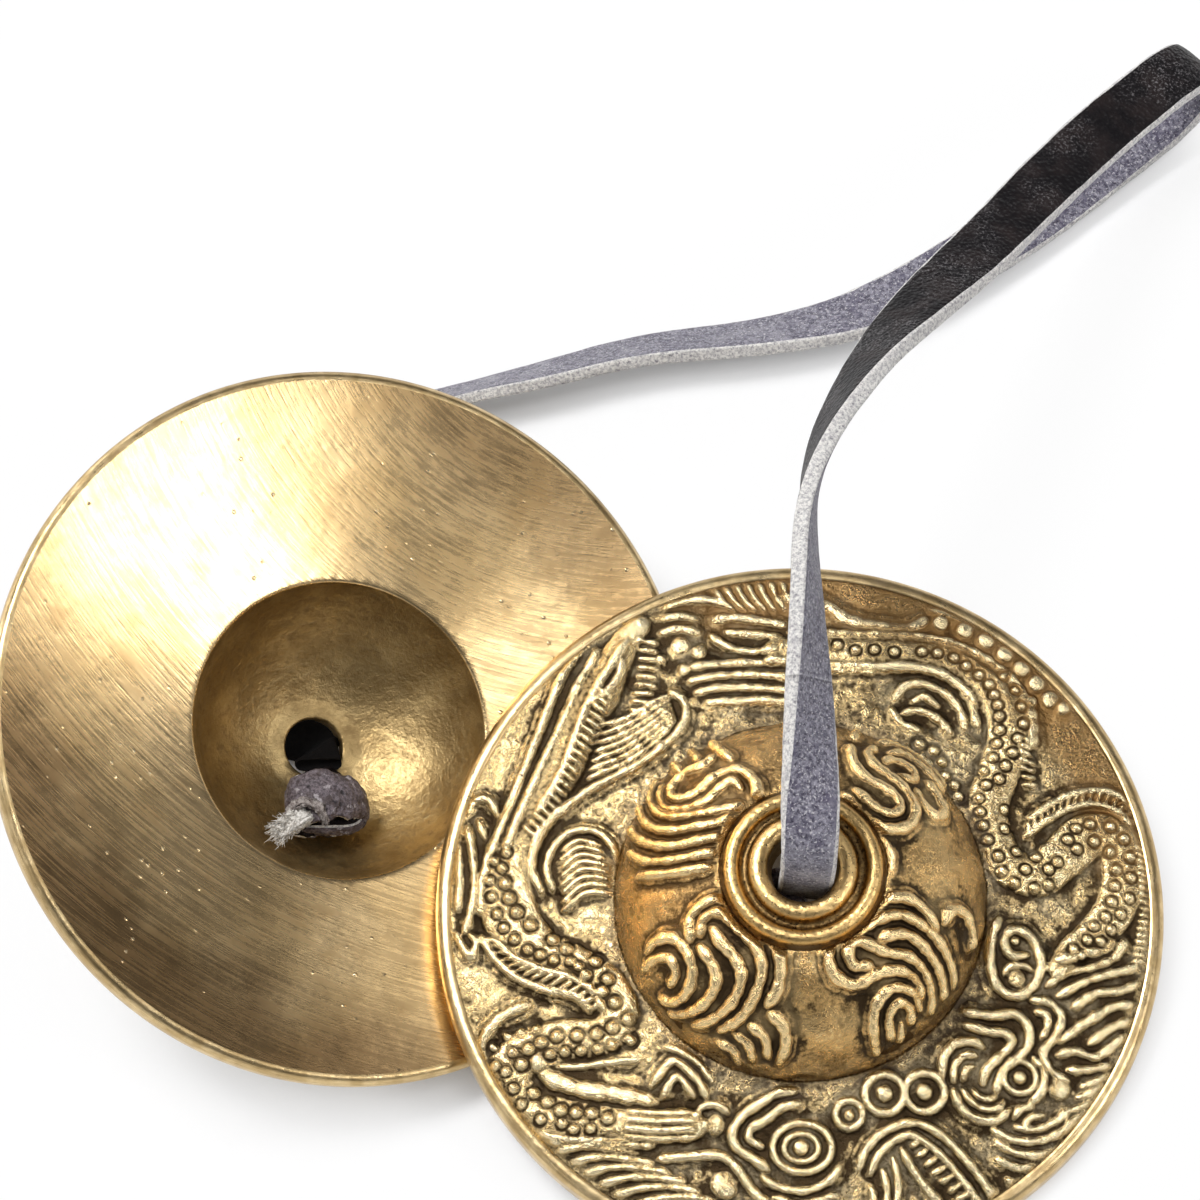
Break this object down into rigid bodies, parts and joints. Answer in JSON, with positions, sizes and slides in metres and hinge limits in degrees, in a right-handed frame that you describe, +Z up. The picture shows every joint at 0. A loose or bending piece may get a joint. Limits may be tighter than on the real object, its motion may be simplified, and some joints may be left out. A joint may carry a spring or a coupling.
{
  "type": "pair of small hand cymbals on a strap",
  "caption": "Tingsha: small thick cast-brass hand cymbals with relief on their domed backs, tied together by a knotted leather strap, lying on a table.",
  "frame": {"origin": "on the table, under the middle of the two cymbals", "axes": "+Z up from the table, +X from the left cymbal's centre to the right one's, +Y towards the strap's far loop"},
  "size_m": [0.1044, 0.1285, 0.0354],
  "materials": {
    "brass": "satin",
    "leather": "matte"
  },
  "bodies": {
    "strap": {"strap": "leather"},
    "left_knot": {"left_knot": "leather"},
    "left_cymbal": {"left_cymbal": "brass"},
    "right_knot": {"right_knot": "leather"},
    "right_cymbal": {"right_cymbal": "brass"}
  },
  "joints": [
    {"name": "left_swing", "type": "hinge", "parent": "strap", "child": "left_knot", "pos_m": [-0.03058, 0.0016, 0.00095], "axis": [0.1908, 0.9816, 0], "range_deg": [0, 55]},
    {"name": "left_spin", "type": "hinge", "parent": "left_knot", "child": "left_cymbal", "pos_m": [-0.02234, 0, 0.01711], "axis": [0.4524, -0.0879, 0.8875], "continuous": true},
    {"name": "right_swing", "type": "hinge", "parent": "strap", "child": "right_knot", "pos_m": [0.01881, 0.00778, 0.02992], "axis": [-0.3308, 0.8951, 0.2989], "range_deg": [0, 50]},
    {"name": "right_spin", "type": "hinge", "parent": "right_knot", "child": "right_cymbal", "pos_m": [0.01976, 0, 0.00495], "axis": [0.1223, -0.0938, 0.9881], "continuous": true}
  ]
}
